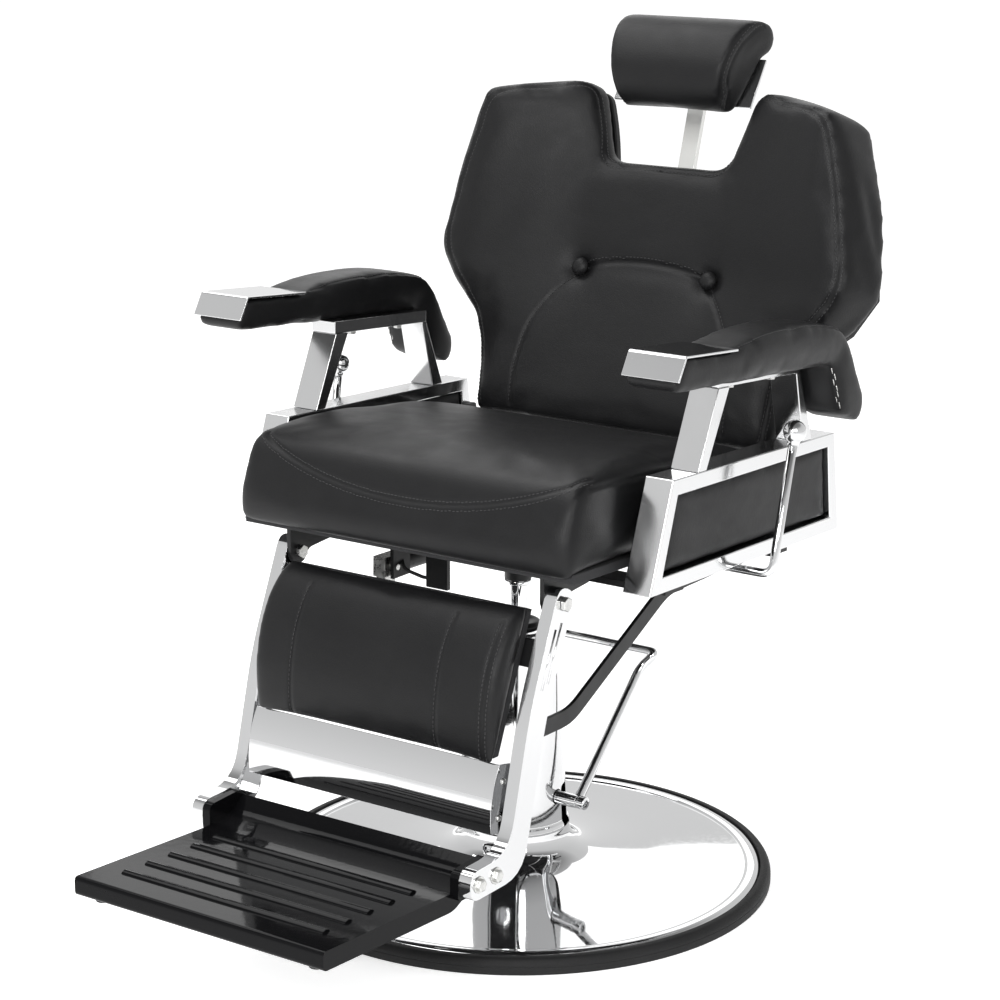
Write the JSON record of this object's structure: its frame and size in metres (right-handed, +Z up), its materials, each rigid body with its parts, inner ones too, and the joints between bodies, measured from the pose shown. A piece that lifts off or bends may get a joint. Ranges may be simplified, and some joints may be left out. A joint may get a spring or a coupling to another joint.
{
  "type": "hydraulic barber chair",
  "caption": "Reclining barber chair on a round pump base, with padded seat, winged button back, headrest, armrests, leg pad and footplate.",
  "frame": {"origin": "on the floor, at the centre of the round base's underside, on the axis the seat turns about", "axes": "+Z up along the pump's axis, -Y the way the sitter faces, +X the sitter's left"},
  "size_m": [0.713, 1.0566, 1.0585],
  "materials": {
    "upholstery": "satin",
    "chrome": "polished",
    "cast_chrome": "polished",
    "base_steel": "satin",
    "black_steel": "satin",
    "gloss_black_casting": "gloss",
    "rubber": "matte",
    "plywood": "matte",
    "aluminium": "satin",
    "bare_steel": "satin",
    "zinc": "satin"
  },
  "bodies": {
    "base": {"base_ring": "rubber", "base_plate": "base_steel", "base_dish": "chrome", "pump_cylinder": "black_steel", "gland_nut": "black_steel", "column_cover": "chrome"},
    "pump_lever": {"pump_lever": "chrome"},
    "piston": {"piston_rod": "chrome", "piston_flange": "bare_steel"},
    "seat": {"under_frame": "black_steel", "swivel_housing": "black_steel", "seat_board": "plywood", "seat_cushion": "upholstery", "side_frame_left": "cast_chrome", "side_frame_right": "cast_chrome", "side_panel_left": "plywood", "side_panel_right": "plywood", "arm_bar_left": "cast_chrome", "arm_bar_right": "cast_chrome", "arm_post_front_left": "cast_chrome", "arm_post_front_right": "cast_chrome", "arm_post_rear_left": "cast_chrome", "arm_post_rear_right": "cast_chrome", "arm_pad_left": "upholstery", "arm_pad_right": "upholstery", "arm_cap_left": "cast_chrome", "arm_cap_right": "cast_chrome", "hinge_block_left": "black_steel", "hinge_block_right": "black_steel", "leg_bracket_left": "black_steel", "leg_bracket_right": "black_steel", "leg_pivot_bolt_left": "zinc", "leg_pivot_bolt_right": "zinc"},
    "recline_lever": {"recline_rod": "chrome", "recline_ball_left": "chrome", "recline_ball_right": "chrome"},
    "back": {"back_cushion": "upholstery", "back_board": "plywood", "back_button_left": "upholstery", "back_button_right": "upholstery", "hinge_frame": "black_steel", "headrest_socket": "black_steel"},
    "headrest": {"headrest_bar": "aluminium", "pillow_plate": "chrome", "headrest_pillow": "upholstery"},
    "legrest": {"leg_arm_left": "chrome", "leg_arm_right": "chrome", "leg_cushion": "upholstery", "leg_board": "plywood", "leg_strap": "black_steel", "kick_plate": "chrome", "footplate": "gloss_black_casting"},
    "link": {"link_bar": "black_steel"},
    "gas_spring": {"gas_cylinder": "black_steel", "release_head": "zinc"},
    "gas_rod": {"gas_rod": "bare_steel"}
  },
  "joints": [
    {"name": "pump_press", "type": "hinge", "parent": "base", "child": "pump_lever", "pos_m": [0, 0, 0.114], "axis": [-1, 0, 0], "range_deg": [0, 25], "stiffness_Nm_per_rad": 4, "springref_deg": -28.65},
    {"name": "lift", "type": "slide", "parent": "base", "child": "piston", "axis": [0, 0, 1], "range_m": [-0.04, 0.11]},
    {"name": "swivel", "type": "hinge", "parent": "piston", "child": "seat", "pos_m": [0, 0, 0.42], "axis": [0, 0, 1], "continuous": true},
    {"name": "recline_release", "type": "hinge", "parent": "seat", "child": "recline_lever", "pos_m": [0, 0.044, 0.442], "axis": [-1, 0, 0], "range_deg": [0, 15], "stiffness_Nm_per_rad": 3, "springref_deg": -17.19},
    {"name": "recline", "type": "hinge", "parent": "seat", "child": "back", "pos_m": [0, 0.258, 0.515], "axis": [-1, 0, 0], "range_deg": [0, 32]},
    {"name": "headrest_slide", "type": "slide", "parent": "back", "child": "headrest", "axis": [0, 0.2924, 0.9563], "range_m": [0, 0.1]},
    {"name": "leg_lift", "type": "hinge", "parent": "seat", "child": "legrest", "pos_m": [0, -0.205, 0.444], "axis": [-1, 0, 0], "range_deg": [0, 29.5]},
    {"name": "link_pivot", "type": "hinge", "parent": "back", "child": "link", "pos_m": [0.1855, 0.262, 0.4], "axis": [-1, 0, 0], "range_deg": [-29, 0]},
    {"name": "gas_pivot", "type": "hinge", "parent": "seat", "child": "gas_spring", "pos_m": [-0.099, -0.14, 0.425], "axis": [1, 0, 0], "range_deg": [0, 1.5]},
    {"name": "gas_stroke", "type": "slide", "parent": "gas_spring", "child": "gas_rod", "axis": [0, 0.9997, -0.0249], "range_m": [-0.055, 0]}
  ],
  "couplings": [
    {"joint": "leg_lift", "follows": "recline", "ratio": 0.9089},
    {"joint": "link_pivot", "follows": "recline", "ratio": -0.8926},
    {"joint": "gas_pivot", "follows": "recline", "ratio": 0.04356},
    {"joint": "gas_stroke", "follows": "recline", "m_per_rad": -0.09764}
  ]
}
